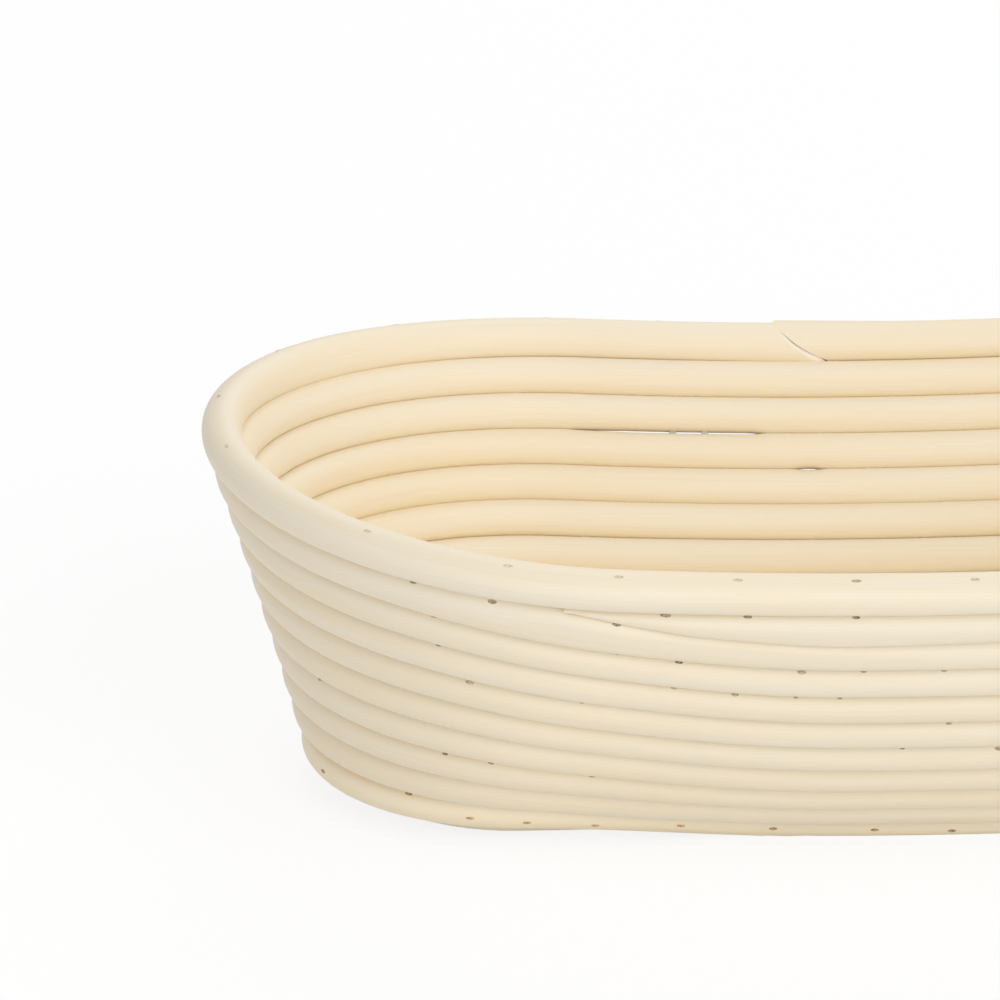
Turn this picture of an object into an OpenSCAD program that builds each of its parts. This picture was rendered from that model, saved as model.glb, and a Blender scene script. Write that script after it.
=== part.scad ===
// Oval proofing basket of round rattan cane, wound in rows and held by brads.
// X runs along the basket, Y across it and Z up, with the floor at Z 0.

/* [Cane] */
// Diameter of the wound cane
cane_d = 6.6; // [6:0.05:6.7]
// Diameter of the rim cane
rim_d = 7.2; // [6.8:0.1:7.8]
// Space between rows round the ends
end_gap = 0.5; // [0.48:0.01:0.7]
// Space between rows along the long sides
side_gap = 0.75; // [0.7:0.05:1]
// Space between rows in the flat base
base_gap = 1.18; // [1.16:0.01:1.3]
// Depth of the flat that the base rows stand on
foot_flat = 0.66; // [0.6:0.01:0.8]

/* [Base] */
// Turns of cane in the flat base
base_turns = 4; // [3:1:4]
// Bend radius of the first turn
core_r = 6.5; // [6.4:0.1:8]
// Straight run of the base turns
core_run = 132.8; // [120:0.2:150]
// Rise of the base turns at the ends, where the base bows up off the table
base_bow = 2.2; // [0:0.1:2.4]
// Rise of the first wall turn along the sides, from level
foot_side_angle = 41; // [30:0.5:42]
// Rise of the first wall turn at the ends, from level
foot_end_angle = 24; // [22:1:40]

/* [Wall] */
// Turns of cane in the wall
wall_turns = 9; // [7:1:10]
// Slope of the long sides at the bottom, from level
side_low_angle = 45; // [43:1:55]
// Slope of the long sides at the rim, from level
side_high_angle = 62; // [58:0.5:70]
// Slope of the ends at the bottom, from level
end_low_angle = 76.5; // [72:0.5:78]
// Slope of the ends at the rim, from level
end_high_angle = 71.5; // [68:0.5:78]
// Where each turn starts to climb to the next row
climb_from = -8; // [-14:1:10]
// Distance from the left end at which a turn has reached the next row
climb_end = 26; // [24:1:34]
// Where the last turn is cut off to a wedge
tip_x = -60; // [-64:1:-45]

/* [Joints] */
// Length of the slanted cuts between two wound canes
splice_len = 12; // [8:1:14]
// Space left in a slanted cut
splice_gap = 0.45; // [0.42:0.01:0.8]
// Length of the slanted cut in the rim
scarf_len = 10.3; // [7:0.1:14]
// Middle of the slanted cut in the rim
scarf_x = -7; // [-30:1:30]

/* [Brads] */
// Length of a brad
brad_len = 10; // [9:0.5:10.5]
// Width of a brad along the cane
brad_w = 1.2; // [1:0.1:1.4]
// Thickness of a brad across the cane
brad_t = 1; // [0.8:0.1:1.2]
// Width of the head along the cane
head_w = 2.2; // [1.8:0.1:2.6]
// Height of the head
head_h = 0.7; // [0.5:0.1:1]
// Depth of the head below the cane's surface
head_sink = 0.1; // [0:0.05:0.3]
// Tilt of the brads in the bottom row
foot_tilt = 18; // [10:1:22]
// Tilt of the brads in the wall, which carries their heads outwards
wall_tilt = 22; // [0:1:24]
// Brads on a long side, for each turn
side_brads = 5; // [3:1:6]
// Brads round an end of the wall, for each turn
end_brads = 7; // [4:1:7]
// Brads round an end of the base, for each turn
base_end_brads = 3; // [2:1:3]

/* [Hidden] */
sides = 8;
arc_steps = 12;
near_steps = 10;
far_steps = 3;
cane_r = cane_d / 2;
rim_r = rim_d / 2;
base_pitch = cane_d + base_gap;
end_pitch = cane_d + end_gap;
side_pitch = cane_d + side_gap;
first = -base_turns;
top = wall_turns - 1;
split = ceil(top / 2);
base_z = cane_r - foot_flat;
// Corner radius that gives a section the area of a round cane, as a share of its radius
corner = sqrt(2 * PI / (sides * sin(360 / sides)));

// Slopes of the step from one row up to the next
function side_slope(i) =
    i < -1 ? 0 : i < 0 ? foot_side_angle
    : side_low_angle
      + (side_high_angle - side_low_angle) * sin(90 * min(1, 1.5 * i / wall_turns));
function end_slope(i) =
    i < -1 ? 0 : i < 0 ? foot_end_angle
    : end_low_angle + (end_high_angle - end_low_angle) * i / top;
function side_step(i) = i < 0 ? base_pitch : i < top ? side_pitch : side_pitch + rim_r - cane_r;
function end_step(i) = i < 1 ? base_pitch : i < top ? end_pitch : end_pitch + rim_r - cane_r;

// Half length, half width and height of every row, summed up from the first
function row_sum(i, part) =
    i <= first ? 0 : row_sum(i - 1, part)
    + (part == 0 ? end_step(i - 1) * cos(end_slope(i - 1))
       : part == 1 ? side_step(i - 1) * cos(side_slope(i - 1))
       : part == 2 ? end_step(i - 1) * sin(end_slope(i - 1))
       : side_step(i - 1) * sin(side_slope(i - 1)));
rows = [for (i = [first : wall_turns]) i];
half_l = [for (i = rows) [i, core_run / 2 + core_r + row_sum(i, 0)]];
half_w = [for (i = rows) [i, core_r + row_sum(i, 1)]];
end_z = [for (i = rows) [i, base_z + base_bow + row_sum(i, 2)]];
side_z = [for (i = rows) [i, base_z + row_sum(i, 3)]];

// Plan of a row: near side, left end, far side and right end are one unit of q each
function plan(a, b, q) =
    q < 1 ? [(a - b) * (1 - 2 * q), -b]
    : q < 2 ? [b - a - b * sin(180 * (q - 1)), -b * cos(180 * (q - 1))]
    : q < 3 ? [(a - b) * (2 * q - 5), b]
    : [a - b + b * sin(180 * (q - 3)), b * cos(180 * (q - 3))];
function row_point(level, q) =
    let (a = lookup(level, half_l), b = lookup(level, half_w), p = plan(a, b, q),
         w = pow(p.x / a, 2))
    [p.x, p.y, lookup(level, side_z) * (1 - w) + lookup(level, end_z) * w];

// Share of the climb still ahead at a point of the near side
function smooth(t) = t * t * (3 - 2 * t);
function climb(turn, q) =
    q >= 1.5 ? 0
    : let (x = plan(lookup(turn, half_l), lookup(turn, half_w), q).x,
           to = climb_end - lookup(max(turn, 0), half_l))
      smooth(max(0, min(1, (x - to) / (climb_from - to))));
function level_at(turn, q) =
    turn > top ? turn - 0.5 - climb(top, q) / 2 : turn - climb(turn, q);
function half_thick(turn, q) =
    turn > top ? (side_pitch * climb(top, q) - side_gap) / 2 : cane_r;

// Frame on a turn: point, along the cane, towards the next row, across, half thickness.
// It looks from half a row below to half a row above, or from the row below where above is 0.
function unit(v) = v / norm(v);
function wound_point(turn, q) = row_point(level_at(turn, q), q);
function frame_at(p, before, after, up, h) =
    let (along = unit(after - before), next = unit(up - (up * along) * along))
    [p, along, next, cross(along, next), h];
function wound_frame(turn, q, above = 0.5) =
    let (level = level_at(turn, q), d = 0.002)
    frame_at(wound_point(turn, q),
             wound_point(turn, max(0, q - d)), wound_point(turn, min(4, q + d)),
             row_point(level + above, q) - row_point(level + above - 1, q), half_thick(turn, q));
function rim_frame(q) =
    let (d = 0.002, m = q % 4)
    frame_at(row_point(wall_turns, m), row_point(wall_turns, (q + 4 - d) % 4),
             row_point(wall_turns, (q + d) % 4),
             row_point(wall_turns, m) - row_point(top, m), rim_r);

// Stations of one turn, and those of a run of turns between two ends
stations = concat([for (i = [0 : near_steps - 1]) i / near_steps],
                  [for (i = [0 : arc_steps - 1]) 1 + i / arc_steps],
                  [for (i = [0 : far_steps - 1]) 2 + i / far_steps],
                  [for (i = [0 : arc_steps - 1]) 3 + i / arc_steps]);
per_turn = len(stations);
function run_of(turn_a, q_a, turn_b, q_b) =
    concat([[turn_a, q_a]],
           [for (turn = [turn_a : turn_b]) for (q = stations)
            if (4 * turn + q > 4 * turn_a + q_a + 0.03 && 4 * turn + q < 4 * turn_b + q_b - 0.03)
            [turn, q]],
           [[turn_b, q_b]]);
// Base turns stand square on the table, and the first wall turn leans in with the wall
function lean_of(turn, q) =
    turn < first + 2 ? 1 : max(0, min(0.5, (4 * turn + q) / (2 * splice_q)));
function wound_run(turn_a, q_a, turn_b, q_b) =
    [for (s = run_of(turn_a, q_a, turn_b, q_b)) wound_frame(s[0], s[1], lean_of(s[0], s[1]))];

// One ring of a cane; lean shifts its points along the cane to slant an end
function ring(f, across_r, lean_next, lean_across) =
    [for (i = [0 : sides - 1])
     let (c = cos(180 / sides + 360 * i / sides), s = sin(180 / sides + 360 * i / sides),
          p = f[0] + corner * (f[2] * c * f[4] + f[3] * s * across_r)
              + f[1] * (c * lean_next + s * lean_across))
     [p.x, p.y, max(0, p.z)]];
module tube(frames, across_r, lean_a, lean_b) {
    n = len(frames);
    points = [for (i = [0 : n - 1])
              let (lean = i == 0 ? lean_a : i == n - 1 ? lean_b : [0, 0])
              for (p = ring(frames[i], across_r, lean[0], lean[1])) p];
    walls = [for (i = [0 : n - 2]) for (j = [0 : sides - 1])
             let (k = (j + 1) % sides, a = i * sides + j, b = i * sides + k)
             for (face = [[a, b, b + sides], [a, b + sides, a + sides]]) face];
    caps = [for (j = [1 : sides - 2])
            for (face = [[0, j + 1, j], [(n - 1) * sides, (n - 1) * sides + j, (n - 1) * sides + j + 1]])
            face];
    polyhedron(points = points, faces = concat(walls, caps));
}

// Least gap of a cane to itself, from its points to the runs of the next turn
function gap_to_run(f, a, b) =
    let (run = b[0] - a[0], t = max(0, min(1, ((f[0] - a[0]) * run) / (run * run))))
    norm(f[0] - a[0] - t * run) - f[4] - a[4] * (1 - t) - b[4] * t;
function least_gap(frames) =
    min([for (i = [0 : len(frames) - 2])
         for (j = [i + per_turn - 10 : 1 : min(i + per_turn + 10, len(frames) - 2)])
         gap_to_run(frames[i], frames[j], frames[j + 1])]);

// Ends of the wound canes
splice_q = 3.5;
function after_cut(turn) = splice_q + splice_gap / (PI * lookup(turn, half_w));
function near_q(x, level) =
    let (b = lookup(level, half_w), run = lookup(level, half_l) - b)
    -x <= run ? (1 - x / run) / 2 : 1 + asin((-x - run) / b) / 180;
tip_q = near_q(tip_x, top);
base_path = wound_run(first, 1, 0, splice_q);
lower_path = wound_run(0, after_cut(0), split, splice_q);
upper_path = wound_run(split, after_cut(split), wall_turns, tip_q);
rim_run = 2 * (lookup(wall_turns, half_l) - lookup(wall_turns, half_w));
rim_a = 2.5 + (scarf_x + splice_gap / 2) / rim_run;
rim_b = 6.5 + (scarf_x - splice_gap / 2) / rim_run;
rim_path = concat([rim_frame(rim_a)],
                  [for (t = [0 : 2]) for (q = stations)
                   if (4 * t + q > rim_a + 0.06 && 4 * t + q < rim_b - 0.06) rim_frame(4 * t + q)],
                  [rim_frame(rim_b)]);
echo(least_gap_mm = [for (path = [base_path, lower_path, upper_path]) least_gap(path)]);

module cane(path, a = [0, 0], b = [0, 0]) {
    tube(path, cane_r, a, b);
}

module base_cane() {
    color([0.86, 0.76, 0.58])
    cane(base_path, b = [0, splice_len / 2]);
}

module lower_wall_cane() {
    color([0.89, 0.8, 0.63])
    cane(lower_path, a = [0, splice_len / 2], b = [0, splice_len / 2]);
}

module upper_wall_cane() {
    color([0.91, 0.83, 0.67])
    cane(upper_path, a = [0, splice_len / 2]);
}

module rim_cane() {
    color([0.94, 0.88, 0.75])
    tube(rim_path, rim_r, [-scarf_len / 2, 0], [-scarf_len / 2, 0]);
}

// A brad drawn with its head at the surface and its shank along -Y
module brad(surface) {
    translate([0, surface - head_sink, -brad_t / 2])
    linear_extrude(brad_t)
    polygon([[-head_w / 2, 0], [head_w / 2, 0], [head_w / 2, -head_h], [brad_w / 2, -head_h],
             [brad_w / 2, -brad_len], [-brad_w / 2, -brad_len], [-brad_w / 2, -head_h],
             [-head_w / 2, -head_h]]);
}
module brad_in(f, tilt = 0) {
    along = f[1];
    up = f[2] * cos(tilt) - f[3] * sin(tilt);
    side = cross(along, up);
    multmatrix([[along.x, up.x, side.x, f[0].x],
                [along.y, up.y, side.y, f[0].y],
                [along.z, up.z, side.z, f[0].z],
                [0, 0, 0, 1]])
    brad(f[4]);
}

// Places of the brads on a turn, staggered from one turn to the next
function spread(start, count, shift) = [for (i = [0 : count - 1]) start + (i + shift) / count];
function places(turn, ends) =
    let (shift = abs(turn) % 2 == 0 ? 0.25 : 0.75)
    concat(spread(0, side_brads, shift), spread(1, ends, shift),
           spread(2, side_brads, shift), spread(3, ends, shift));
module turn_brads(turn, ends, tilt = 0, from = 0) {
    for (q = places(turn, ends))
        if (q >= from)
            brad_in(wound_frame(turn, q, 0), tilt);
}

module base_brads() {
    color([0.6, 0.6, 0.62]) {
        for (turn = [first + 1 : -1])
            turn_brads(turn, base_end_brads, from = turn == first + 1 ? 1 : 0);
        turn_brads(0, end_brads, foot_tilt);
    }
}

module lower_wall_brads() {
    color([0.6, 0.6, 0.62])
    for (turn = [1 : split])
        turn_brads(turn, end_brads, wall_tilt);
}

module upper_wall_brads() {
    color([0.6, 0.6, 0.62]) {
        for (turn = [split + 1 : top])
            turn_brads(turn, end_brads, wall_tilt);
        for (q = places(wall_turns, end_brads))
            if (q < 0.4)
                brad_in(wound_frame(wall_turns, q, 0), wall_tilt);
    }
}

module rim_brads() {
    color([0.6, 0.6, 0.62])
    for (q = places(wall_turns, end_brads))
        brad_in(rim_frame(q));
}

base_cane();
lower_wall_cane();
upper_wall_cane();
rim_cane();
base_brads();
lower_wall_brads();
upper_wall_brads();
rim_brads();
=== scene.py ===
import bpy
import math
import numpy as np
from mathutils import Matrix, Vector


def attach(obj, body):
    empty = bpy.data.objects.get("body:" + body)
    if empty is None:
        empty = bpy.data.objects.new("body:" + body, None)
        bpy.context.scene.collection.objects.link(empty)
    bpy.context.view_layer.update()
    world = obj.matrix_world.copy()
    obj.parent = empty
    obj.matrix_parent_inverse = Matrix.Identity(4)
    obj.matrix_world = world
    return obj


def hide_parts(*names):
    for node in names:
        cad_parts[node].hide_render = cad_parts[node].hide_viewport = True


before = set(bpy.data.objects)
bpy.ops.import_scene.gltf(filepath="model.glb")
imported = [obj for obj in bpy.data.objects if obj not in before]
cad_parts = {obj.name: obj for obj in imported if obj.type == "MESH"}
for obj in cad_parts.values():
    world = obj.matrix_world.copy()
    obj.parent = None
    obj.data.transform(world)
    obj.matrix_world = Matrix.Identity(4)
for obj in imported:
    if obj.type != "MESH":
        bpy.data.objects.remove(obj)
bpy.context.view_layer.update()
bpy.ops.object.select_all(action="DESELECT")
print("frame loaded, nodes:", ", ".join(sorted(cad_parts)))

# rows of the basket, in millimetres and degrees, as the solids have them
form = {
    "caneWidth": 6.6, "rimWidth": 7.2, "endGap": 0.5, "sideGap": 0.75, "baseGap": 1.18, "footFlat": 0.66,
    "baseTurns": 4, "coreRadius": 6.5, "coreRun": 132.8, "baseBow": 2.2,
    "footSideAngle": 41.0, "footEndAngle": 24.0, "wallTurns": 9, "leanRate": 1.5,
    "sideLowAngle": 45.0, "sideHighAngle": 62.0, "endLowAngle": 76.5, "endHighAngle": 71.5,
    "climbFrom": -8.0, "climbEnd": 26.0, "tipX": -60.0,
}
firstTurn = -form["baseTurns"]
topTurn = form["wallTurns"] - 1
splitTurn = math.ceil(topTurn / 2)
perMetre = 1000   # millimetres

# a turn has four units of q: near side, left end, far side and right end
turnUnits = 4
nearMiddle, leftBend, leftMiddle, farStart, farMiddle, farStop = 0.5, 1.0, 1.5, 2.0, 2.5, 3.0
halfRow = 0.5

# how closely the rows are followed: samples to a unit of q, fewest rings, and the step for a direction
tracing = {"samples": 250, "fewestRings": 8, "nudge": 0.004, "tiny": 1e-9}


def ease(t):
    t = np.clip(t, 0, 1)
    return t * t * (3 - 2 * t)


# lean of the wall above a row, at the middle of a side and at an end
def sideLean(row):
    if row < -1:
        return 0.0
    if row < 0:
        return math.radians(form["footSideAngle"])
    share = min(1, form["leanRate"] * row / form["wallTurns"])
    more = form["sideHighAngle"] - form["sideLowAngle"]
    return math.radians(form["sideLowAngle"] + more * math.sin(math.pi / 2 * share))


def endLean(row):
    if row < -1:
        return 0.0
    if row < 0:
        return math.radians(form["footEndAngle"])
    more = form["endHighAngle"] - form["endLowAngle"]
    return math.radians(form["endLowAngle"] + more * row / topTurn)


# half length, half width and heights of every row from the middle of the base to the rim
def rowTables():
    basePitch = form["caneWidth"] + form["baseGap"]
    sidePitch = form["caneWidth"] + form["sideGap"]
    endPitch = form["caneWidth"] + form["endGap"]
    low = form["caneWidth"] / 2 - form["footFlat"]
    halfLength = [form["coreRun"] / 2 + form["coreRadius"]]
    halfWidth = [form["coreRadius"]]
    endHeight = [low + form["baseBow"]]
    sideHeight = [low]
    for row in range(firstTurn, form["wallTurns"]):
        underRim = (form["rimWidth"] - form["caneWidth"]) / 2 if row == topTurn else 0
        sideStep = (basePitch if row < 0 else sidePitch) + underRim
        endStep = (basePitch if row < 1 else endPitch) + underRim
        halfLength.append(halfLength[-1] + endStep * math.cos(endLean(row)))
        halfWidth.append(halfWidth[-1] + sideStep * math.cos(sideLean(row)))
        endHeight.append(endHeight[-1] + endStep * math.sin(endLean(row)))
        sideHeight.append(sideHeight[-1] + sideStep * math.sin(sideLean(row)))
    levels = np.arange(firstTurn, form["wallTurns"] + 1, dtype=float)
    return levels, np.array(halfLength), np.array(halfWidth), np.array(endHeight), np.array(sideHeight)


levels, halfLength, halfWidth, endHeight, sideHeight = rowTables()


def planOf(a, b, q):
    run = a - b
    left, right = np.pi * (q - leftBend), np.pi * (q - farStop)
    parts = [q < leftBend, q < farStart, q < farStop]
    x = np.select(parts, [run * (2 * (nearMiddle - q)), -run - b * np.sin(left), run * (2 * (q - farMiddle))],
                  run + b * np.sin(right))
    y = np.select(parts, [-b, -b * np.cos(left), b], b * np.cos(right))
    return x, y


def rowPoint(level, q):
    level = np.broadcast_to(np.asarray(level, float), np.shape(q))
    a, b = np.interp(level, levels, halfLength), np.interp(level, levels, halfWidth)
    x, y = planOf(a, b, q)
    share = (x / a) ** 2
    z = np.interp(level, levels, sideHeight) * (1 - share) + np.interp(level, levels, endHeight) * share
    return np.stack([x, y, z], -1)


# share of the climb to the next row that is still ahead on the near side
def climbAt(turn, x):
    end = form["climbEnd"] - np.interp(np.maximum(turn, 0), levels, halfLength)
    return ease((x - end) / (form["climbFrom"] - end))


def climbAhead(turn, q):
    turn = np.broadcast_to(np.asarray(turn, float), np.shape(q))
    x = planOf(np.interp(turn, levels, halfLength), np.interp(turn, levels, halfWidth), q)[0]
    return np.where(q >= leftMiddle, 0.0, climbAt(turn, x))


def unitRows(v):
    return v / np.linalg.norm(v, axis=-1, keepdims=True)


def squareTo(v, along):
    return v - (v * along).sum(-1, keepdims=True) * along


def runAlong(points):
    return np.concatenate([[0], np.cumsum(np.linalg.norm(np.diff(points, axis=0), axis=1))])


# slow random drift along a cane, the same on every run
driftWeights = (0.6, 1.0)


def drift(along, size, lengths, seed):
    rng = np.random.default_rng(seed)
    total = np.zeros_like(along)
    for length in lengths:
        total += np.sin(2 * np.pi * along / length + rng.uniform(0, 2 * np.pi)) * rng.uniform(*driftWeights)
    return size * total / len(lengths)


# stations of a winding at an even spacing: s is a whole turn's units and q
def windingStations(start, stop, space, place):
    raw = np.linspace(start, stop, int((stop - start) * tracing["samples"]) + 2)
    run = runAlong(place(raw))
    count = max(tracing["fewestRings"], int(run[-1] / space))
    return np.interp(np.linspace(0, run[-1], count + 1), run, raw)


# wound canes, in millimetres
wound = {
    "ringSpace": 1.6, "sides": 32, "halfAcross": 3.56, "halfRange": (3.3, 3.95), "topHalf": 3.92,
    "press": 0.07, "sway": 0.07, "swayLengths": (83, 151, 260),
    "thickDrift": 0.012, "thickLengths": (37, 61, 118),
    "bendX": 68.0, "bendRun": 22.0, "bendLift": 0.7, "bendFromQ": 0.3,
    "farDrop": 0.6, "dropFrom": 4.0, "dropPower": 0.7, "farFrom": -10.0, "farRun": 60.0,
}
# the last turn's wedge, what the row below fills beside it, and the cut faces that lie flush outside
wedge = {
    "run": 50.0, "cut": 0.86, "power": 1.6, "thinWide": 0.55, "wideRate": 1.6,
    "rowStep": 7.3, "spare": 0.15, "notch": 0.45, "notchRun": 5.0,
    "flushFrom": 25.0, "flushRun": 45.0, "flushEnd": 6.0,
}
# narrow slits on the far side, where the row above a turn stands apart from it
slits = [
    {"turn": 6, "fromX": -58.0, "toX": -14.0, "easeIn": 16.0, "easeOut": 3.0, "depth": 0.64},
    {"turn": 5, "fromX": -9.2, "toX": -2.2, "easeIn": 2.5, "easeOut": 2.5, "depth": 0.64},
]


# 0 on the near side, 1 on the far side
def farShare(point):
    return ease((point[:, 1] - wound["farFrom"]) / wound["farRun"])


def splitStation(s):
    turn = np.minimum(np.floor(s / turnUnits + tracing["tiny"]), form["wallTurns"])
    return turn, s - turnUnits * turn


def woundLevel(s):
    turn, q = splitStation(s)
    climb = climbAhead(np.minimum(turn, topTurn), q)
    return np.where(turn > topTurn, topTurn + halfRow - climb / 2, turn - climb)


def woundPoint(s):
    return rowPoint(woundLevel(s), splitStation(s)[1])


# thickness of the last turn's wedge, as a share of a row
def wedgeShare(x):
    back = np.clip((form["climbFrom"] - x) / wedge["run"], 0, 1)
    return 1 - wedge["cut"] * back ** wedge["power"]


# the last turn is pared to a wedge under the rim, and the row below fills what it leaves
def pareWedge(track, turn, q):
    climb = climbAhead(topTurn, np.where(turn >= topTurn, q, farStart))
    share = wedgeShare(track["point"][:, 0])
    last = turn > topTurn
    half = wound["topHalf"] * share
    middle = rowPoint(topTurn, q) + track["next"] * (wound["topHalf"] - half)[:, None]
    thinner = wedge["thinWide"] + (1 - wedge["thinWide"]) * np.minimum(1, share * wedge["wideRate"])
    track["point"] = np.where(last[:, None], middle, track["point"])
    track["up"] = np.where(last, half, track["up"])
    track["down"] = np.where(last, half, track["down"])
    track["wide"] = np.where(last, wound["halfAcross"] * thinner, track["wide"])
    x = track["point"][:, 0]
    past = x < form["tipX"]
    notch = wedge["notch"] * np.exp((x - form["tipX"]) / wedge["notchRun"])
    beyond = climb * wedge["rowStep"] + wedge["spare"] - notch
    left = np.where(past, beyond, (climb - share) * wedge["rowStep"])
    under = (turn == topTurn) & (q < leftMiddle)
    track["up"] += np.where(under & (climb > 0), np.maximum(0, left), 0)
    flush = ease((wedge["flushFrom"] - x) / wedge["flushRun"])
    fade = np.where(past, np.exp((x - form["tipX"]) / wedge["flushEnd"]), 1)
    track["flushDown"] = np.where(last, flush, 0.0)
    track["flushUp"] = np.where(under, flush * fade, 0.0)


def openSlits(track, turn, q):
    x = track["point"][:, 0]
    far = (q > farStart) & (q < farStop)
    for slit in slits:
        inside = np.minimum((x - slit["fromX"]) / slit["easeIn"], (slit["toX"] - x) / slit["easeOut"])
        opening = slit["depth"] / 2 * np.clip(inside, 0, 1)
        track["up"] -= np.where(far & (turn == slit["turn"]), opening, 0)
        track["down"] -= np.where(far & (turn == slit["turn"] + 1), opening, 0)


# stations of a winding: point, along, towards the next row, across, and the half thicknesses
def woundTrack(start, stop, seed):
    s = windingStations(start, stop, wound["ringSpace"], woundPoint)
    turn, q = splitStation(s)
    level = woundLevel(s)
    point = woundPoint(s)
    run = runAlong(point)
    along = unitRows(woundPoint(np.minimum(s + tracing["nudge"], stop))
                     - woundPoint(np.maximum(s - tracing["nudge"], start)))
    above = squareTo(rowPoint(level + halfRow, q) - rowPoint(level, q), along)
    below = squareTo(rowPoint(level, q) - rowPoint(level - halfRow, q), along)
    nextDir = unitRows(above + below)
    acrossDir = np.cross(along, nextDir)
    up = np.clip((above * nextDir).sum(-1), *wound["halfRange"]) + wound["press"]
    down = np.clip((below * nextDir).sum(-1), *wound["halfRange"]) + wound["press"]
    up = np.where(level > topTurn - halfRow, np.minimum(up, wound["topHalf"]), up)
    track = {"s": s, "run": run, "point": point, "along": along, "next": nextDir, "across": acrossDir,
             "up": up, "down": down, "wide": np.full_like(up, wound["halfAcross"])}
    pareWedge(track, turn, q)
    openSlits(track, turn, q)

    # the turn under the bottom row lifts a little off the floor before each bend
    point = track["point"]
    bend = np.exp(-((np.abs(point[:, 0]) - wound["bendX"]) / wound["bendRun"]) ** 2)
    point[:, 2] += wound["bendLift"] * bend * ((turn == -1) & (q > wound["bendFromQ"]))

    # the upper rows sag a little on the far side, under a rim that is fuller there
    sag = np.clip((level - wound["dropFrom"]) / (topTurn - wound["dropFrom"]), 0, 1) ** wound["dropPower"]
    point[:, 2] -= wound["farDrop"] * sag * farShare(point)

    track["wide"] *= 1 + drift(run, wound["thickDrift"], wound["thickLengths"], seed)
    track["point"] = point + acrossDir * drift(run, wound["sway"], wound["swayLengths"], seed + 1)[:, None]
    return track


# section of a cane and its cut ends: a power of 1 draws an ellipse, a lower one fuller shoulders, and endMapV
# is where the cut faces lie in the cane's map
caneShape = {
    "power": 0.9, "flushPower": 0.5, "leanRun": 14.0, "crestPower": 14, "gapeFrom": 0.1,
    "pareFrom": 0.3, "pareRun": 0.8, "pareSide": 1.3, "pareSeen": 0.01, "endMapV": 0.25,
}


def shapePower(flush):
    return caneShape["power"] + (caneShape["flushPower"] - caneShape["power"]) * flush


def fuller(v, power):
    return np.sign(v) * np.abs(v) ** power


# c is the share towards the next row and n the share across, for each side of a ring
def ringPoints(track, c, n, leanStart, leanEnd, gape, keep):
    flat = np.zeros(len(track["run"]))
    run, towardsNext = track["run"], (c >= 0)[None, :]
    fromStart = np.clip(1 - run / caneShape["leanRun"], 0, 1)[:, None]
    fromEnd = np.clip(1 - (run[-1] - run) / caneShape["leanRun"], 0, 1)[:, None]
    parting = gape * np.clip(caneShape["gapeFrom"] - c, 0, 1)
    slide = (fromStart * (leanStart[0] * c + leanStart[1] * n + parting)
             + fromEnd * (leanEnd[0] * c + leanEnd[1] * n))
    half = np.where(towardsNext, track["up"][:, None], track["down"][:, None])
    crest = track.get("crest", flat)[:, None] * np.clip(c, 0, 1) ** caneShape["crestPower"]
    flushUp, flushDown = (track.get(key, flat)[:, None] for key in ("flushUp", "flushDown"))
    power = shapePower(np.where(towardsNext, flushUp, flushDown) * (n < 0))
    return (track["point"][:, None, :]
            + track["next"][:, None, :] * (half * fuller(c, power) * keep + crest)[:, :, None]
            + track["across"][:, None, :] * (track["wide"][:, None] * fuller(n, power) * keep)[:, :, None]
            + track["along"][:, None, :] * slide[:, :, None])


# sharp edges and a fresh cut at both ends of a swept cane, and the pale cut finish on a pared band, partly a
# painted highlight
def dressCane(piece, count, sides, walls, pared, finish):
    mesh = piece.data
    bpy.ops.object.select_all(action="DESELECT")
    bpy.context.view_layer.objects.active = piece
    piece.select_set(True)
    bpy.ops.object.shade_smooth()
    order = np.arange(len(mesh.polygons))
    mesh.polygons.foreach_set("use_smooth", order < walls)
    ends = np.zeros(2 * len(mesh.edges), int)
    mesh.edges.foreach_get("vertices", ends)
    ends = ends.reshape(-1, 2)
    lastRing = (count - 1) * sides
    atStart = (ends < sides).all(1)
    atStop = ((ends >= lastRing) & (ends < lastRing + sides)).all(1)
    mesh.edges.foreach_set("use_edge_sharp", atStart | atStop)
    slots = (order >= walls).astype(int)
    # the pared band at the joint takes the pale cut finish: partly the cut face's own colour, partly a
    # painted highlight where the strip faces the light
    slots[walls - sides:walls] = pared > caneShape["pareSeen"]
    mesh.materials.append(finish)
    mesh.materials.append(freshCutAndHighlight)
    mesh.polygons.foreach_set("material_index", slots)
    mesh.update()


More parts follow.
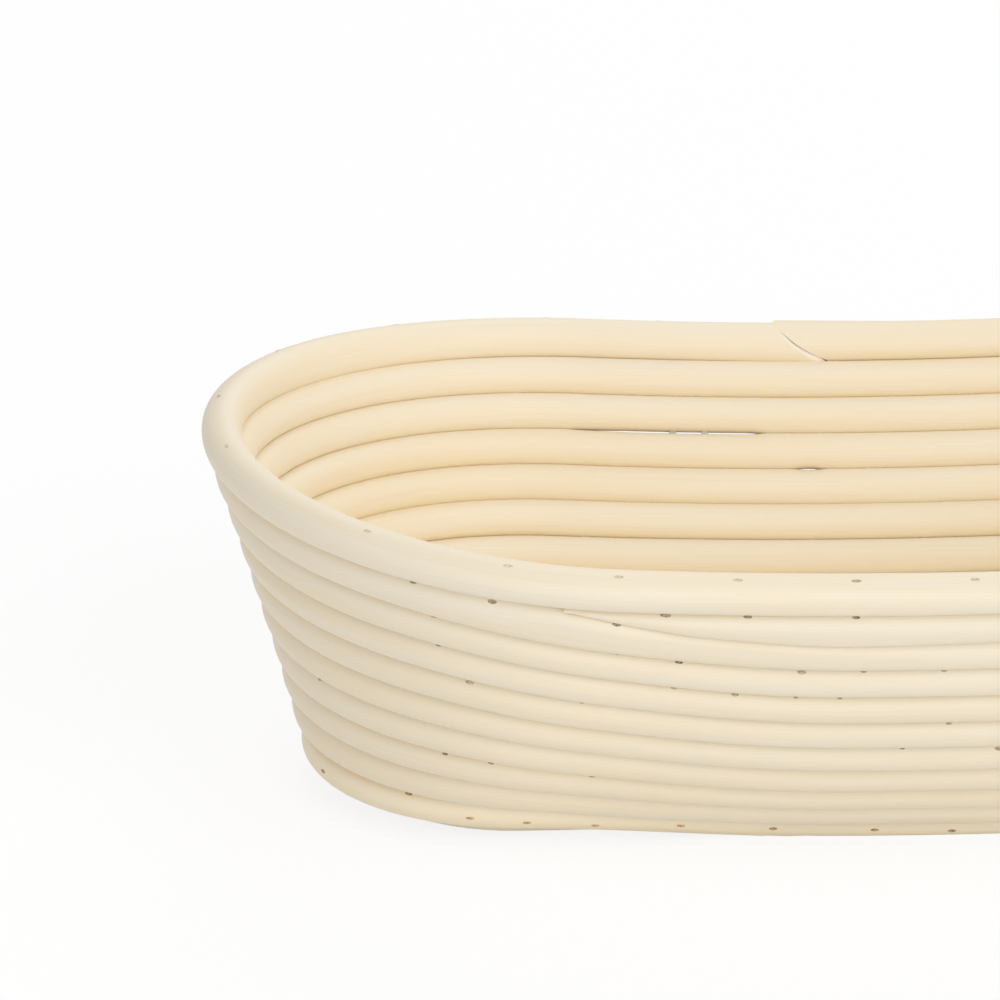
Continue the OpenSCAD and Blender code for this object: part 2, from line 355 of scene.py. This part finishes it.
# The rows can't be drawn by an extrude or a spin, so each cane is swept ring by ring along its rows.
def sweepCane(name, track, sides, finish, leanStart=(0, 0), leanEnd=(0, 0),
              floorCut=False, pare=0.0, gape=0.0):
    run, count = track["run"] / perMetre, len(track["run"])
    angle = 2 * np.pi * np.arange(sides) / sides
    c, n = np.cos(angle), np.sin(angle)
    pared = pare * (np.clip((caneShape["pareFrom"] - c) / caneShape["pareRun"], 0, 1)
                    * np.clip(n * caneShape["pareSide"], 0, 1))
    keep = np.ones((count, sides))
    keep[-1] -= pared
    points = ringPoints(track, c, n, leanStart, leanEnd, gape, keep)
    if floorCut:
        points[:, :, 2] = np.maximum(points[:, :, 2], 0)
    vertices = (points.reshape(-1, 3) / perMetre).tolist()
    faces, corners = [], []
    for i in range(count - 1):
        for j in range(sides):
            k = (j + 1) % sides
            faces.append((i * sides + j, i * sides + k, (i + 1) * sides + k, (i + 1) * sides + j))
            u0, u1, v0, v1 = run[i], run[i + 1], j / sides, (j + 1) / sides
            corners += [u0, v0, u0, v1, u1, v1, u1, v0]
    walls = len(faces)
    for ring, turned in ((0, True), (count - 1, False)):
        middle = len(vertices)
        vertices.append((points[ring].mean(0) / perMetre).tolist())
        for j in range(sides):
            a, b = ring * sides + j, ring * sides + (j + 1) % sides
            faces.append((middle, b, a) if turned else (middle, a, b))
            corners += [run[ring], caneShape["endMapV"]] * 3
    mesh = bpy.data.meshes.new(name)
    mesh.from_pydata(vertices, [], faces)
    mesh.uv_layers.new(name="caneMap").data.foreach_set("uv", corners)
    piece = bpy.data.objects.new(name, mesh)
    bpy.context.collection.objects.link(piece)
    dressCane(piece, count, sides, walls, pared, finish)
    print(name, "swept:", len(faces), "faces,", round(float(run[-1]), 3), "m of cane")
    return piece


# a socket that can be written in sums, and the one way in to every other node
class Strand:
    def __init__(self, tree, socket=None):
        self.tree, self.socket = tree, socket

    def node(self, kind, settings=None, sockets=None, out=0):
        made = self.tree.nodes.new(kind)
        for key, value in (settings or {}).items():
            setattr(made, key, value)
        for key, value in (sockets or {}).items():
            if isinstance(value, Strand):
                self.tree.links.new(value.socket, made.inputs[key])
            else:
                made.inputs[key].default_value = value
        return Strand(self.tree, made.outputs[out])

    def sums(self, operation, a, b=0.0):
        return self.node("ShaderNodeMath", {"operation": operation}, {0: a, 1: b})

    def __add__(self, other):
        return self.sums("ADD", self, other)

    def __radd__(self, other):
        return self.sums("ADD", other, self)

    def __sub__(self, other):
        return self.sums("SUBTRACT", self, other)

    def __rsub__(self, other):
        return self.sums("SUBTRACT", other, self)

    def __mul__(self, other):
        return self.sums("MULTIPLY", self, other)

    def __rmul__(self, other):
        return self.sums("MULTIPLY", other, self)

    def rise(self, low, high):
        return self.node("ShaderNodeMapRange", {"interpolation_type": "SMOOTHSTEP"},
                         {"Value": self, "From Min": low, "From Max": high})

    def blend(self, first, second, way="MIX"):
        return self.node("ShaderNodeMix", {"data_type": "RGBA", "blend_type": way},
                         {0: self, 6: first, 7: second}, 2)

    def objectPlace(self):
        return self.node("ShaderNodeTexCoord", None, None, 3)


def newFinish(name):
    finish = bpy.data.materials.new(name)
    finish.use_nodes = True
    return finish, finish.node_tree.nodes["Principled BSDF"], Strand(finish.node_tree)


def join(finish, strand, socket):
    finish.node_tree.links.new(strand.socket, socket)


# streaks are given as repeats to a metre, fineness round the cane, and detail
caneLook = {
    "pale": (0.965, 0.865, 0.685, 1), "warm": (0.96, 0.835, 0.617, 1), "fibre": (0.9, 0.76, 0.53, 1),
    # the groove colour below is painted shade between the rows, and the tint after it a painted shade on the
    # outer skin
    "paintedGrooveShade": (0.86, 0.66, 0.36, 1), "outerPaintedShade": (0.935, 0.945, 0.975, 1),
    "broad": (9.0, 0.8, 2.0), "fibres": (16.0, 9.0, 3.0), "hair": (40.0, 24.0, 2.0), "streakRoughness": 0.55,
    "broadRise": (0.35, 0.7), "fibreRise": (0.5, 0.78), "fibreShare": 0.35,
    "grooveShadeRise": (0.93, 1.0), "outerShadeRise": (-0.5, 0.4),
    "roughness": 0.5, "hairRoughness": 0.1, "gloss": 0.35,
    "fibreDepth": 0.12, "fibreHeight": 0.0002, "fibreBump": 0.6, "hairBump": 0.4,
}


def makePaleCane(name, grooveShadeShare, outerShadeShare):
    finish, shader, strand = newFinish(name)
    place = strand.node("ShaderNodeUVMap", {"uv_map": "caneMap"})
    alongCane = strand.node("ShaderNodeSeparateXYZ", None, {0: place})
    roundCane = Strand(finish.node_tree, alongCane.socket.node.outputs[1]) * (2 * math.pi)
    towards = strand.sums("COSINE", roundCane)
    sideways = strand.sums("SINE", roundCane)

    def streaks(repeats, fineness, detail):
        spot = strand.node("ShaderNodeCombineXYZ", None,
                           {0: alongCane * repeats, 1: towards * fineness, 2: sideways * fineness})
        return strand.node("ShaderNodeTexNoise", {"noise_dimensions": "3D"},
                           {"Vector": spot, "Scale": 1.0, "Detail": detail,
                            "Roughness": caneLook["streakRoughness"]})

    broad = streaks(*caneLook["broad"])
    fibres = streaks(*caneLook["fibres"])
    hair = streaks(*caneLook["hair"])
    colour = broad.rise(*caneLook["broadRise"]).blend(caneLook["pale"], caneLook["warm"])
    colour = (fibres.rise(*caneLook["fibreRise"]) * caneLook["fibreShare"]).blend(colour, caneLook["fibre"])
    # painted shade: the sides of each cane that face the rows above and below are tinted darker tan, standing
    # in for the shade in the grooves between rows
    paintedGrooveShade = strand.sums("ABSOLUTE", towards).rise(*caneLook["grooveShadeRise"])
    colour = (paintedGrooveShade * grooveShadeShare).blend(colour, caneLook["paintedGrooveShade"])
    # painted shade: the skin that faces out of the basket is dimmed and cooled a little, standing in for the
    # warm bounce light inside the basket
    outerShade = (0.0 - sideways).rise(*caneLook["outerShadeRise"]) * outerShadeShare
    colour = outerShade.blend(colour, caneLook["outerPaintedShade"], "MULTIPLY")
    join(finish, colour, shader.inputs["Base Color"])
    join(finish, caneLook["roughness"] + hair * caneLook["hairRoughness"], shader.inputs["Roughness"])
    grain = fibres * caneLook["fibreBump"] + hair * caneLook["hairBump"]
    bump = strand.node("ShaderNodeBump", None, {"Strength": caneLook["fibreDepth"],
                                                "Distance": caneLook["fibreHeight"], "Height": grain})
    join(finish, bump, shader.inputs["Normal"])
    shader.inputs["Specular IOR Level"].default_value = caneLook["gloss"]
    return finish


# pale tones of a fresh cut face, paled further so that the rim's pared band also carries a painted highlight
cutAndHighlightLook = {"pore": (0.93, 0.85, 0.7, 1), "pale": (0.97, 0.93, 0.83, 1), "poreScale": 2600.0,
           "poreRise": (0.15, 0.5), "roughness": 0.75}


def makeFreshCutAndHighlight():
    finish, shader, strand = newFinish("freshCutAndHighlight")
    place = strand.objectPlace()
    pores = strand.node("ShaderNodeTexVoronoi", {"feature": "F1"},
                        {"Vector": place, "Scale": cutAndHighlightLook["poreScale"]})
    colour = pores.rise(*cutAndHighlightLook["poreRise"]).blend(cutAndHighlightLook["pore"], cutAndHighlightLook["pale"])
    join(finish, colour, shader.inputs["Base Color"])
    shader.inputs["Roughness"].default_value = cutAndHighlightLook["roughness"]
    return finish


# steel of the brads: tones that change from brad to brad, and blotches on each
steelLook = {
    "apartScale": 90.0, "apartDetail": 1.0, "apartRise": (0.3, 0.7), "apartShare": 0.5,
    "blotchScale": 1900.0, "blotchDetail": 2.0, "blotchFineness": 0.6, "blotchRise": (0.35, 0.65),
    "blotchShare": 0.5, "blotchRoughness": 0.25,
}
# light tone, dark tone, metallic share and roughness
steelTones = {
    "tarnishedHead": ((0.72, 0.62, 0.44, 1), (0.15, 0.12, 0.07, 1), 0.05, 0.5),
    "dustyHead": ((0.85, 0.75, 0.54, 1), (0.42, 0.35, 0.21, 1), 0.05, 0.6),
    "brownHead": ((0.72, 0.52, 0.27, 1), (0.28, 0.175, 0.07, 1), 0.05, 0.6),
    "greyShank": ((0.72, 0.7, 0.66, 1), (0.5, 0.48, 0.44, 1), 0.5, 0.4),
}


def makeSteel(name, light, dark, metal, rough):
    finish, shader, strand = newFinish(name)
    place = strand.objectPlace()
    apart = strand.node("ShaderNodeTexNoise", None,
                        {"Vector": place, "Scale": steelLook["apartScale"],
                         "Detail": steelLook["apartDetail"]})
    blotch = strand.node("ShaderNodeTexNoise", None,
                         {"Vector": place, "Scale": steelLook["blotchScale"],
                          "Detail": steelLook["blotchDetail"], "Roughness": steelLook["blotchFineness"]})
    tone = (apart.rise(*steelLook["apartRise"]) * steelLook["apartShare"]
            + blotch.rise(*steelLook["blotchRise"]) * steelLook["blotchShare"])
    join(finish, tone.blend(light, dark), shader.inputs["Base Color"])
    join(finish, rough + blotch * steelLook["blotchRoughness"], shader.inputs["Roughness"])
    shader.inputs["Metallic"].default_value = metal
    return finish


# each finish's share of painted groove shade and of painted shade on the outer skin
paleCane = makePaleCane("paleCane", grooveShadeShare=0.32, outerShadeShare=1.0)
baseFinish = makePaleCane("baseCaneFinish", grooveShadeShare=0.32, outerShadeShare=0.0)
rimFinish = makePaleCane("rimCaneFinish", grooveShadeShare=0.0, outerShadeShare=1.0)
freshCutAndHighlight = makeFreshCutAndHighlight()
steel = {name: makeSteel(name, *tones) for name, tones in steelTones.items()}
print("finishes made")


def finishPiece(piece, slotName, *nodes):
    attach(piece, "root")
    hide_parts(*nodes)


# the base cane's inner end lies along the middle and leads into the first turn, which starts at the left end
innerEnd = {"fromX": 65.0, "half": 2.62, "stationStep": 0.01}


def withInnerEnd(track):
    first = track["point"][0]
    x = np.arange(innerEnd["fromX"], first[0] + wound["ringSpace"] / 2, -wound["ringSpace"])
    led = (1 - climbAt(firstTurn, x)) / (1 - climbAt(firstTurn, first[0]))
    share = (x / halfLength[0]) ** 2
    point = np.stack([x, first[1] * led, sideHeight[0] * (1 - share) + endHeight[0] * share], -1)
    along = unitRows(np.gradient(np.concatenate([point, track["point"][:1]]), axis=0)[:-1])
    nearWay = np.array([[0.0, -1.0, 0.0]])
    nextDir = unitRows(squareTo(nearWay, along))
    half = innerEnd["half"] + (track["up"][0] - innerEnd["half"]) * led
    s = track["s"][0] - innerEnd["stationStep"] * np.arange(len(x), 0, -1)
    lead = {"s": s, "point": point, "along": along, "next": nextDir, "across": np.cross(along, nextDir),
            "up": half, "down": half, "wide": np.full_like(x, track["wide"][0]),
            "flushUp": np.zeros_like(x), "flushDown": np.zeros_like(x)}
    joined = {key: np.concatenate([lead[key], track[key]]) for key in lead}
    joined["run"] = runAlong(joined["point"])
    return joined


# where the last turn ends under the rim
def tipStation():
    run = halfLength[-2] - halfWidth[-2]
    back = -form["tipX"] - run
    if back <= 0:
        return (1 - form["tipX"] / run) / 2
    return leftBend + math.asin(back / halfWidth[-2]) / math.pi


# wound canes: base, lower wall and upper wall, joined by slanted cuts at the right end
splice = {"q": 3.5, "gap": 0.002, "lean": (0, 6.0)}
seeds = {"base": 11, "lower": 23, "upper": 37}
lowerStop = turnUnits * splitTurn + splice["q"]
upperStop = turnUnits * form["wallTurns"] + tipStation()
baseTrack = withInnerEnd(woundTrack(turnUnits * firstTurn + leftBend, splice["q"], seeds["base"]))
lowerTrack = woundTrack(splice["q"] + splice["gap"], lowerStop, seeds["lower"])
upperTrack = woundTrack(lowerStop + splice["gap"], upperStop, seeds["upper"])
baseCane = sweepCane("baseCane", baseTrack, wound["sides"], baseFinish, leanEnd=splice["lean"], floorCut=True)
lowerWallCane = sweepCane("lowerWallCane", lowerTrack, wound["sides"], paleCane,
                          leanStart=splice["lean"], leanEnd=splice["lean"])
upperWallCane = sweepCane("upperWallCane", upperTrack, wound["sides"], paleCane, leanStart=splice["lean"])
finishPiece(baseCane, "cane", "base_cane")
finishPiece(lowerWallCane, "cane", "lower_wall_cane")
finishPiece(upperWallCane, "cane", "upper_wall_cane")

# rim cane, with its slanted joint on the far side; the thick spot is its q, its run and its share
rim = {
    "ringSpace": 1.6, "sides": 40, "radius": 3.63, "settle": 0.15, "farFull": 0.6,
    "scarfX": -6.25, "scarfLean": (-5.2, -3.3), "crest": 0.55, "drop": 0.4, "liftRun": 16.0,
    "pare": 0.24, "gape": 0.35, "pareRing": 0.6,
    "sway": 0.1, "swayLengths": (140, 230, 330), "thickDrift": 0.01, "thickLengths": (57, 93, 210),
    "thickSpot": (1.7, 0.17, 0.065), "seed": 51,
}


def rimPoint(q):
    return rowPoint(form["wallTurns"], np.mod(q, turnUnits))


def rimStations():
    start = rim["scarfX"] / (2 * (halfLength[-1] - halfWidth[-1]))
    s = windingStations(farMiddle + start, farMiddle + turnUnits + start, rim["ringSpace"], rimPoint)
    return np.insert(s, -1, (1 - rim["pareRing"]) * s[-1] + rim["pareRing"] * s[-2])


def makeRimTrack():
    s = rimStations()
    q = np.mod(s, turnUnits)
    point = rimPoint(s)
    run = runAlong(point)
    along = unitRows(rimPoint(s + tracing["nudge"]) - rimPoint(s - tracing["nudge"]))
    nextDir = unitRows(squareTo(point - rowPoint(topTurn, q), along))
    acrossDir = np.cross(along, nextDir)
    point = point - nextDir * rim["settle"]
    point = point + acrossDir * drift(run, rim["sway"], rim["swayLengths"], rim["seed"])[:, None]
    spotQ, spotRun, spotShare = rim["thickSpot"]
    thicker = drift(run, rim["thickDrift"], rim["thickLengths"], rim["seed"] + 1)
    half = rim["radius"] * (1 + thicker + spotShare * np.exp(-((q - spotQ) / spotRun) ** 2))
    drop = rim["drop"] * np.exp(-((run[-1] - run) / rim["liftRun"]) ** 2)
    crest = rim["crest"] * np.exp(-(run / rim["liftRun"]) ** 2)
    return {"s": s, "run": run, "point": point, "along": along, "next": nextDir, "across": acrossDir,
            "up": half, "down": half + rim["farFull"] * farShare(point) + drop, "wide": half, "crest": crest}


rimTrack = makeRimTrack()
rimCane = sweepCane("rimCane", rimTrack, rim["sides"], rimFinish, leanStart=rim["scarfLean"],
                    leanEnd=rim["scarfLean"], pare=rim["pare"], gape=rim["gape"])
finishPiece(rimCane, "cane", "rim_cane")

# one brad in millimetres, the top of its head at the origin and its shank along -Z, then copied into place
brad = {
    "length": 10.0, "shankWide": 1.7, "shankThick": 0.35, "point": 1.6, "pointShare": 0.3, "sides": 8,
    "headWide": 2.3, "headThick": 1.0, "headHigh": 0.7, "headMargin": 0.1,
    "dome": 0.35, "domeShare": (0.62, 0.5), "facing": 0.9,
}


def pickFaces(piece, test):
    bpy.ops.mesh.select_all(action="DESELECT")
    bpy.ops.object.mode_set(mode="OBJECT")
    for face in piece.data.polygons:
        face.select = test(face)
    bpy.ops.object.mode_set(mode="EDIT")


def extrudeBy(height):
    bpy.ops.mesh.extrude_region_move(TRANSFORM_OT_translate={"value": (0, 0, height)})


def modelBrad():
    rimHigh = brad["headHigh"] - brad["dome"]
    bpy.ops.object.select_all(action="DESELECT")
    bpy.ops.mesh.primitive_cylinder_add(vertices=brad["sides"], radius=0.5, depth=rimHigh)
    piece = bpy.context.object
    piece.name = "bradPattern"
    bpy.ops.object.mode_set(mode="EDIT")
    bpy.ops.mesh.select_mode(type="FACE")
    bpy.ops.mesh.select_all(action="SELECT")
    bpy.ops.transform.resize(value=(brad["headWide"], brad["headThick"], 1))
    bpy.ops.transform.translate(value=(0, 0, -brad["dome"] - rimHigh / 2))
    pickFaces(piece, lambda face: face.normal.z > brad["facing"])   # the dome of the head
    extrudeBy(brad["dome"])
    bpy.ops.transform.resize(value=(*brad["domeShare"], 1))
    pickFaces(piece, lambda face: face.normal.z < -brad["facing"])   # the shank and its point
    bpy.ops.mesh.extrude_region_move()
    bpy.ops.transform.resize(value=(brad["shankWide"] / brad["headWide"],
                                    brad["shankThick"] / brad["headThick"], 1))
    extrudeBy(brad["headHigh"] + brad["point"] - brad["length"])
    extrudeBy(-brad["point"])
    bpy.ops.transform.resize(value=(brad["pointShare"], brad["pointShare"], 1))
    bpy.ops.mesh.select_all(action="SELECT")
    bpy.ops.mesh.normals_make_consistent(inside=False)
    bpy.ops.object.mode_set(mode="OBJECT")
    piece.data.materials.append(steel["tarnishedHead"])
    piece.data.materials.append(steel["greyShank"])
    headEnd = -brad["headHigh"] - brad["headMargin"]
    for face in piece.data.polygons:
        face.material_index = 0 if face.center.z > headEnd else 1
    return piece


# heads that show on the near side, as q along each turn and the share that shows, the last ones on the wedge
shownBrads = {
    2: [(0.721, 0.1), (0.816, 0.25), (0.936, 0.45), (1.078, 0.3), (1.129, 0.35)],
    3: [(1.323, 0.6)],
    4: [(0.331, 1.0), (0.486, 0.1)],
    5: [(0.412, 0.3), (1.01, 0.2), (1.112, 0.9)],
    6: [(0.587, 0.1), (0.669, 0.15), (0.765, 0.7), (0.876, 0.4), (1.146, 0.2)],
    7: [(0.42, 0.35), (0.563, 0.2), (0.66, 1.0), (0.879, 0.7), (0.988, 0.1), (1.155, 0.25)],
    8: [(1.002, 0.9), (1.099, 1.0), (1.165, 0.6)],
    9: [(0.588, 0.75), (0.769, 0.9), (0.919, 1.3)],
}
# heads low on the bottom row, as q and the lean outwards, and heads on the rim's crest
footBrads = [(0.4, 44), (0.507, 36), (0.644, 36), (0.779, 52), (0.896, 72), (0.98, 68),
             (1.063, 60), (1.169, 10), (1.35, 48)]
rimBradSpots = [0.38, 0.583, 0.798, 1.003, 1.093, 1.211, 1.419]
# shanks that show between the rows inside, as q along each turn, the last one for the rim
shankSpots = {
    5: [1.806],
    6: [1.787, 1.836, 2.108, 2.376, 2.484, 2.592],
    7: [1.783, 1.823, 1.953, 2.181, 2.244, 2.369, 2.48],
    8: [1.841, 1.933, 2.106, 2.158, 2.236, 2.34, 2.467, 2.608],
    9: [1.966, 2.151, 2.578],
}
# brads to a side and to an end, and the stretches of q that the lists above cover
bradSpread = {
    "side": 5, "end": 7, "baseEnd": 3, "evenShift": 0.25, "oddShift": 0.75, "apart": 0.07, "endClear": 0.05,
    "near": (0.3, 1.45), "nearFoot": (0.3, 1.5), "nearRim": (0.3, 1.5), "inside": (1.75, 2.65),
    "insideRim": (1.9, 2.65), "lastTurn": 0.4, "share": (-0.3, 1.0), "shankShare": (0.2, 1.0), "seed": 71,
}
# how a head sits on its row: its way out, its height above the cane, and its size
bradSeat = {
    "out": 1.9, "outByShare": 0.3, "outByTurn": -0.03, "outFlush": 0.5, "proud": 0.14,
    "leastSize": 0.5, "sizeByShare": 0.5, "hiddenShare": -2.5, "hiddenSink": -0.4,
    "crossing": (0.85, 1.2), "crossRun": 7.0, "baseSink": -0.2,
    "footLean": 56, "footSway": 8, "footProud": 0.12, "footSize": 0.95, "rimProud": 0.08, "rimSize": 1.15,
}


def within(q, stretch):
    return stretch[0] < q < stretch[1]


def bradSpots(turn, ends):
    shift = bradSpread["evenShift"] if turn % 2 == 0 else bradSpread["oddShift"]
    spots = []
    for part, count in enumerate((bradSpread["side"], ends, bradSpread["side"], ends)):
        spots += [part + (i + shift) / count for i in range(count)]
    return spots


def stationAt(track, s):
    i = int(np.argmin(np.abs(track["s"] - s)))
    return {key: values[i] for key, values in track.items()}


def bradMatrix(spot, out, rise, lean, size=1.0):
    lean = math.radians(lean)
    along, nextDir, acrossDir = (Vector(spot[key]) for key in ("along", "next", "across"))
    up = nextDir * math.cos(lean) - acrossDir * math.sin(lean)
    head = Vector(spot["point"]) + nextDir * rise - acrossDir * out
    turned = Matrix((along, up.cross(along), up)).transposed().to_4x4()
    placed = Matrix.Scale(1 / perMetre, 4) @ Matrix.Translation(head)
    return placed @ turned @ Matrix.Diagonal((size, size, 1, 1))


bradPattern = modelBrad()
rng = np.random.default_rng(bradSpread["seed"])


def placeBrads(name, matrices, headFinish=None):
    copies = []
    for matrix in matrices:
        copy = bradPattern.copy()
        copy.data = bradPattern.data.copy()
        copy.data.transform(matrix)
        bpy.context.collection.objects.link(copy)
        copies.append(copy)
    bpy.ops.object.select_all(action="DESELECT")
    for copy in copies:
        copy.select_set(True)
    bpy.context.view_layer.objects.active = copies[0]
    bpy.ops.object.join()
    group = bpy.context.object
    group.name = group.data.name = name
    if headFinish:
        group.data.materials[0] = headFinish
    print(name, "placed:", len(matrices), "brads")
    return group


# a turn's brads: those in the lists, and the rest spread evenly, sunk where the near side would show them
def wallSpots(turn):
    spots = list(shownBrads.get(turn, []))
    shown = [q for q, share in spots]
    for q in bradSpots(turn, bradSpread["end"]):
        if turn > topTurn and q > bradSpread["lastTurn"]:
            continue
        if within(q, bradSpread["near"]):
            if all(abs(q - other) > bradSpread["apart"] for other in shown):
                spots.append((q, bradSeat["hiddenShare"]))
        elif not (turn in shankSpots and within(q, bradSpread["inside"])):
            spots.append((q, rng.uniform(*bradSpread["share"])))
    if turn <= topTurn:
        spots += [(q, rng.uniform(*bradSpread["shankShare"])) for q in shankSpots.get(turn, [])]
    return spots


def wallBrads(track, turns):
    matrices = []
    firstS, lastS = track["s"][0] + bradSpread["endClear"], track["s"][-1] - bradSpread["endClear"]
    for turn in turns:
        for q, share in wallSpots(turn):
            if not firstS < turnUnits * turn + q < lastS:
                continue
            spot = stationAt(track, turnUnits * turn + q)
            out = bradSeat["out"] + bradSeat["outByShare"] * share + bradSeat["outByTurn"] * turn
            out += bradSeat["outFlush"] * spot["flushUp"] if share > 0 else 0
            power = shapePower(spot["flushUp"])
            rise = spot["up"] * (1 - (out / spot["wide"]) ** (2 / power)) ** (power / 2)
            rise += bradSeat["hiddenSink"] if share == bradSeat["hiddenShare"] else bradSeat["proud"]
            lean = math.degrees(math.atan((out + rng.uniform(*bradSeat["crossing"])) / bradSeat["crossRun"]))
            size = bradSeat["leastSize"] + bradSeat["sizeByShare"] * max(0, share)
            matrices.append(bradMatrix(spot, out, rise, lean, size))
    return matrices


def footSpots():
    sway = bradSeat["footSway"]
    spread = [q for q in bradSpots(0, bradSpread["end"])
              if q < bradSpread["nearFoot"][0] or q > bradSpread["nearFoot"][1]]
    return footBrads + [(q, bradSeat["footLean"] + rng.uniform(-sway, sway)) for q in spread]


def baseBradPlaces():
    matrices = []
    for turn in range(firstTurn + 1, 0):
        for q in bradSpots(turn, bradSpread["baseEnd"]):
            if turn == firstTurn + 1 and q < leftBend:
                continue
            spot = stationAt(baseTrack, turnUnits * turn + q)
            matrices.append(bradMatrix(spot, 0, spot["up"] + bradSeat["baseSink"], 0))
    for q, lean in footSpots():
        if q > splice["q"] - bradSpread["endClear"]:
            continue
        spot = stationAt(baseTrack, q)
        side, top = math.sin(math.radians(lean)), math.cos(math.radians(lean))
        out = spot["wide"] * side ** caneShape["power"] + bradSeat["footProud"] * side
        rise = spot["up"] * top ** caneShape["power"] + bradSeat["footProud"] * top
        matrices.append(bradMatrix(spot, out, rise, lean, bradSeat["footSize"]))
    return matrices


def rimBradPlaces():
    spots = rimBradSpots + shankSpots[form["wallTurns"]]
    spots += [q for q in bradSpots(form["wallTurns"], bradSpread["end"])
              if not within(q, bradSpread["nearRim"]) and not within(q, bradSpread["insideRim"])]
    matrices = []
    for q in spots:
        spot = stationAt(rimTrack, q if q > rimTrack["s"][0] else q + turnUnits)
        matrices.append(bradMatrix(spot, 0, spot["up"] + bradSeat["rimProud"], 0, bradSeat["rimSize"]))
    return matrices


lowerTurns = range(1, splitTurn + 1)
upperTurns = range(splitTurn + 1, form["wallTurns"] + 1)
baseBrads = placeBrads("baseBrads", baseBradPlaces(), steel["brownHead"])
lowerBrads = placeBrads("lowerWallBrads", wallBrads(lowerTrack, lowerTurns))
upperBrads = placeBrads("upperWallBrads", wallBrads(upperTrack, upperTurns))
rimBrads = placeBrads("rimBrads", rimBradPlaces(), steel["dustyHead"])
bpy.data.objects.remove(bradPattern)
finishPiece(baseBrads, "brad", "base_brads")
finishPiece(lowerBrads, "brad", "lower_wall_brads")
finishPiece(upperBrads, "brad", "upper_wall_brads")
finishPiece(rimBrads, "brad", "rim_brads")

# camera at the photograph's angle: millimetres and degrees, with the lens and the aim in pixels of the image
eye = {
    "image": 1000, "focal": 5330.02, "across": 864.58, "down": 573.36, "sensor": 36.0, "clip": (0.05, 50),
    "distance": 1009.65, "elevation": 19.787, "turn": -1.734, "aim": (0.0, 0.0, 40.0),
}


def placeCamera():
    e, t = math.radians(eye["elevation"]), math.radians(eye["turn"])
    back = Vector((math.sin(t) * math.cos(e), -math.cos(t) * math.cos(e), math.sin(e)))
    right = Vector((math.cos(t), math.sin(t), 0))
    up = back.cross(right)
    middle = eye["image"] / 2
    a, b = (eye["across"] - middle) / eye["focal"], (middle - eye["down"]) / eye["focal"]
    place = Vector(eye["aim"]) - eye["distance"] * (-back + a * right + b * up)
    bpy.ops.object.camera_add()
    camera = bpy.context.object
    camera.name = "photoCamera"
    turned = Matrix((right, up, back)).transposed().to_4x4()
    camera.matrix_world = Matrix.Translation(place / perMetre) @ turned
    camera.data.sensor_fit, camera.data.sensor_width = "HORIZONTAL", eye["sensor"]
    camera.data.lens = eye["focal"] * eye["sensor"] / eye["image"]
    camera.data.clip_start, camera.data.clip_end = eye["clip"]
    bpy.context.scene.camera = camera


placeCamera()

# floor, white surround and soft light, in metres and watts
studio = {"floorSize": 8.0, "floorColour": (0.95, 0.95, 0.94, 1), "floorRoughness": 0.9, "floorWhite": 1.045,
          "shadowShare": 0.2, "white": (1, 1, 1, 1), "surround": 0.54, "lampAim": (0, 0, 0.04)}
lamps = {
    "keyLamp": {"place": (0.8, -1.3, 1.1), "size": 1.4, "power": 13.3},
    "backLamp": {"place": (0.2, 1.1, 1.3), "size": 1.2, "power": 5.1},
    "fillLamp": {"place": (-0.4, -1.55, 0.16), "size": 1.0, "power": 4.4},
}


# rays that see the background itself: the camera's, and those in gloss and through glass
def backgroundRays(strand):
    rays = strand.node("ShaderNodeLightPath").socket.node.outputs
    seen, gloss, through = (Strand(strand.tree, rays[kind])
                            for kind in ("Is Camera Ray", "Is Glossy Ray", "Is Transmission Ray"))
    return strand.sums("MAXIMUM", seen, strand.sums("MAXIMUM", gloss, through))


def makeFloor():
    bpy.ops.object.select_all(action="DESELECT")
    bpy.ops.mesh.primitive_plane_add(size=studio["floorSize"])
    floor = bpy.context.object
    floor.name = "paleFloor"
    finish, shader, strand = newFinish("paleFloor")
    shader.inputs["Base Color"].default_value = studio["floorColour"]
    shader.inputs["Roughness"].default_value = studio["floorRoughness"]
    shader.inputs["Specular IOR Level"].default_value = 0.0
    share = backgroundRays(strand) * (1 - studio["shadowShare"])
    white = strand.node("ShaderNodeEmission", None,
                        {"Color": studio["white"], "Strength": studio["floorWhite"]})
    lit = Strand(finish.node_tree, shader.outputs[0])
    mixed = strand.node("ShaderNodeMixShader", None, {0: share, 1: lit, 2: white})
    join(finish, mixed, finish.node_tree.nodes["Material Output"].inputs["Surface"])
    floor.data.materials.append(finish)


def makeSurround():
    world = bpy.data.worlds.new("whiteSurround")
    bpy.context.scene.world = world
    world.use_nodes = True
    strand = Strand(world.node_tree)
    background = world.node_tree.nodes["Background"]
    background.inputs["Color"].default_value = studio["white"]
    background.inputs["Strength"].default_value = studio["surround"]
    soft = Strand(world.node_tree, background.outputs[0])
    seen = backgroundRays(strand)
    white = strand.node("ShaderNodeBackground", None, {"Color": studio["white"], "Strength": 1.0})
    mixed = strand.node("ShaderNodeMixShader", None, {0: seen, 1: soft, 2: white})
    join(world, mixed, world.node_tree.nodes["World Output"].inputs["Surface"])


def addLamp(name, place, size, power):
    bpy.ops.object.light_add(type="AREA", location=place)
    lamp = bpy.context.object
    lamp.name = name
    lamp.data.size, lamp.data.energy = size, power
    lamp.rotation_euler = (Vector(studio["lampAim"]) - Vector(place)).to_track_quat("-Z", "Y").to_euler()


makeFloor()
makeSurround()
for name, lamp in lamps.items():
    addLamp(name, **lamp)
bpy.context.scene.view_settings.view_transform = "Standard"
print("camera, floor and light placed")
